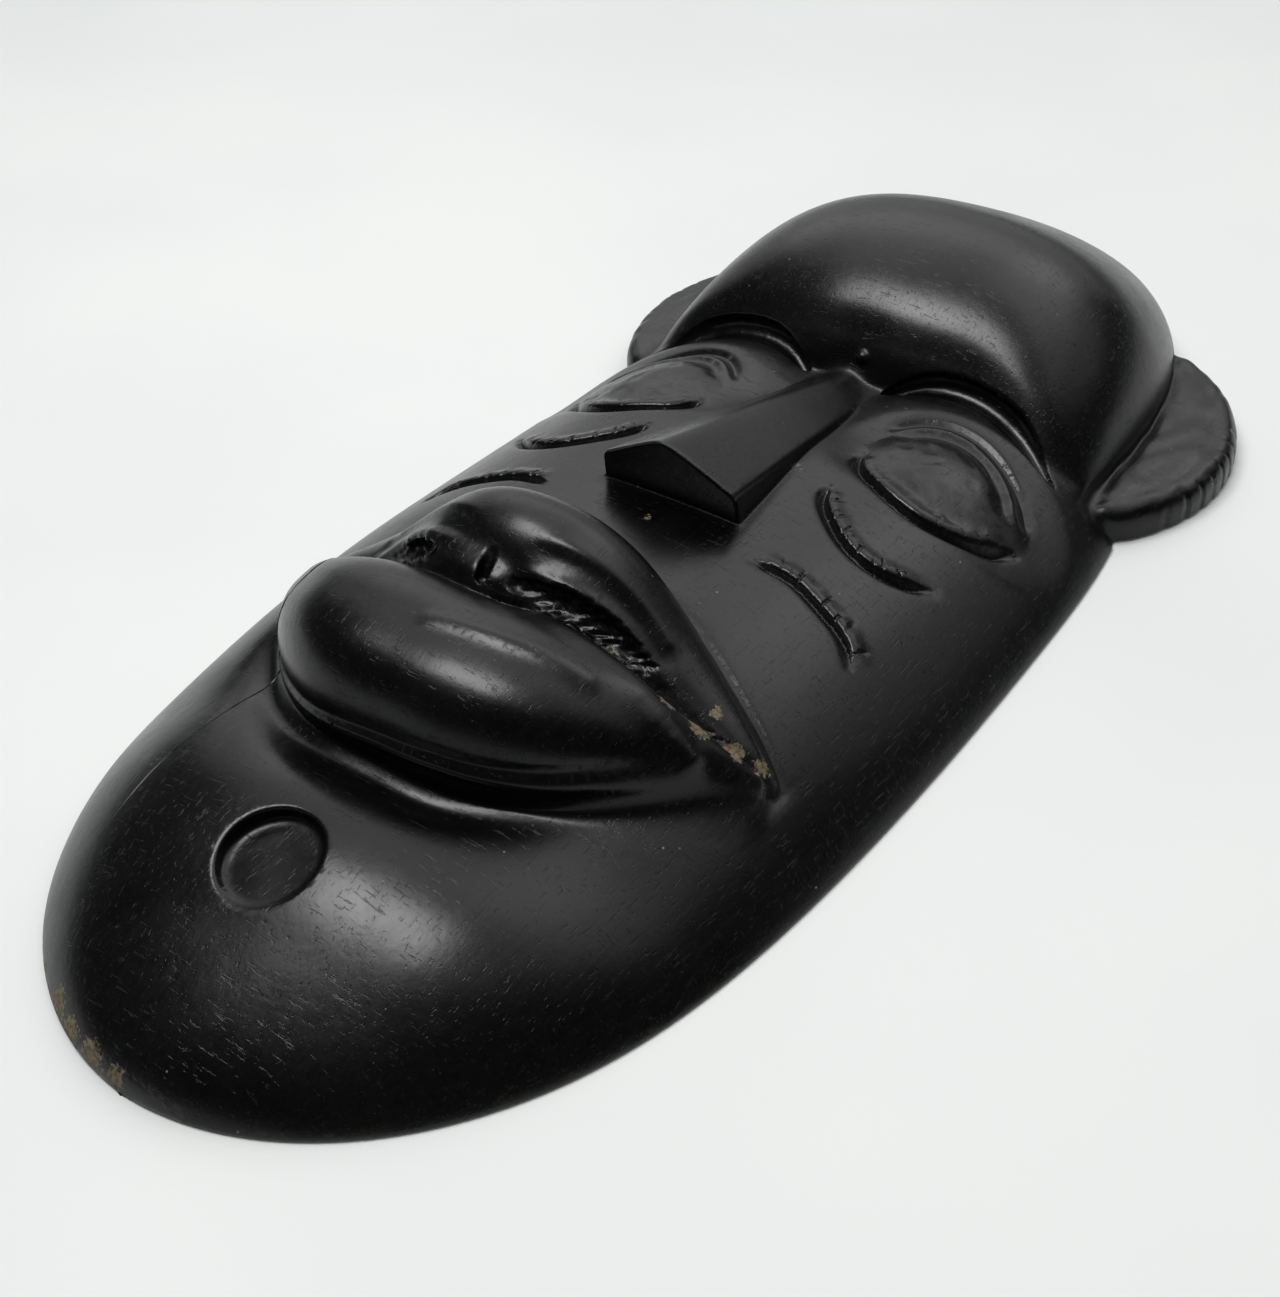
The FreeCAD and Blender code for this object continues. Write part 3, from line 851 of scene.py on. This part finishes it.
# table, light and camera
table = {
    "size": 4.0, "colour": (0.63, 0.64, 0.63, 1), "shade": (0.59, 0.605, 0.60, 1),
    "roughness": 0.62, "glow": 0.05, "gap": 0.1 * mm,
}


def paleTable():
    mesh = bpy.data.meshes.new("paleTable")
    bm = bmesh.new()
    bmesh.ops.create_grid(bm, x_segments=8, y_segments=8, size=table["size"] / 2)
    bm.to_mesh(mesh)
    bm.free()
    top = bpy.data.objects.new("paleTable", mesh)
    bpy.context.scene.collection.objects.link(top)
    material, tree, shader, place = newMaterial("paleTop")
    soft = place.noise(160, 3, 0.5)
    fine = place.noise(1.5, 3, 0.6)
    connect(shader, tree, {
        "Base Color": soft.above(0.3, 0.7).tint(table["shade"], table["colour"]),
        "Roughness": table["roughness"] + (fine - 0.5) * 0.1,
        "Emission Color": (1, 1, 0.99, 1), "Emission Strength": table["glow"],
        "Normal": place.node("Bump", None, {"Height": fine, "Strength": 0.15, "Distance": 0.1 * mm}),
    })
    mesh.materials.append(material)
    top.location.z = -table["gap"]
    return top


floor = paleTable()

# softboxes: direction from the mask (across, up the mask, height), distance, size, how bright they look
softboxes = {
    "overhead": {"from": (-0.16, -0.16, 0.97), "distance": 0.9, "size": (0.66, 0.34), "brightness": 8.5},
    "backWall": {"from": (-0.42, 0.80, 0.42), "distance": 1.6, "size": (2.6, 1.2), "brightness": 0.50},
    "backPanel": {"from": (-0.25, 0.60, 0.74), "distance": 1.5, "size": (2.2, 1.2), "brightness": 0.65},
    "rightPanel": {"from": (0.36, 0.60, 0.71), "distance": 1.4, "size": (1.2, 1.2), "brightness": 0.55},
    "ceiling": {"from": (0.0, 0.25, 0.97), "distance": 1.4, "size": (2.0, 2.0), "brightness": 0.42},
}
aim = Vector((0.0, -0.02, 0.02))
for name, box in softboxes.items():
    light = bpy.data.lights.new(name, "AREA")
    light.shape = "RECTANGLE"
    light.size, light.size_y = box["size"]
    light.energy = box["brightness"] * math.pi * box["size"][0] * box["size"][1]
    lamp = bpy.data.objects.new(name, light)
    toward = Vector(box["from"]).normalized()
    lamp.location = aim + toward * box["distance"]
    across = (Vector((1, 0, 0)) - toward * toward.x).normalized()
    lamp.rotation_euler = Matrix((across, toward.cross(across), toward)).transposed().to_euler()
    bpy.context.scene.collection.objects.link(lamp)

world = bpy.data.worlds.new("room")
world.use_nodes = True
world.node_tree.nodes["Background"].inputs["Color"].default_value = (0.80, 0.82, 0.84, 1)
world.node_tree.nodes["Background"].inputs["Strength"].default_value = 0.06
bpy.context.scene.world = world
bpy.context.scene.view_settings.view_transform = "Standard"
bpy.context.scene.view_settings.look = "Medium High Contrast"

# camera: azimuth round from -Y, elevation and roll in degrees, distance and target in metres
shot = {
    "azimuth": 37.4, "elevation": 37.98, "roll": -2.37, "distance": 0.29291,
    "target": (0.01652, -0.04895, 0.02), "lens": 49.96,
}
azimuth, elevation, roll = (math.radians(shot[key]) for key in ("azimuth", "elevation", "roll"))
flat = math.cos(elevation)
backward = Vector((math.sin(azimuth) * flat, -math.cos(azimuth) * flat, math.sin(elevation)))
level = (-backward).cross(Vector((0, 0, 1))).normalized()
upright = level.cross(-backward)
right = level * math.cos(roll) + upright * math.sin(roll)
up = upright * math.cos(roll) - level * math.sin(roll)
camera = bpy.data.objects.new("camera", bpy.data.cameras.new("camera"))
camera.data.lens, camera.data.sensor_width, camera.data.clip_start = shot["lens"], 36, 0.01
turned = Matrix((right, up, backward)).transposed().to_4x4()
camera.matrix_world = Matrix.Translation(Vector(shot["target"]) + backward * shot["distance"]) @ turned
bpy.context.scene.collection.objects.link(camera)
bpy.context.scene.camera = camera
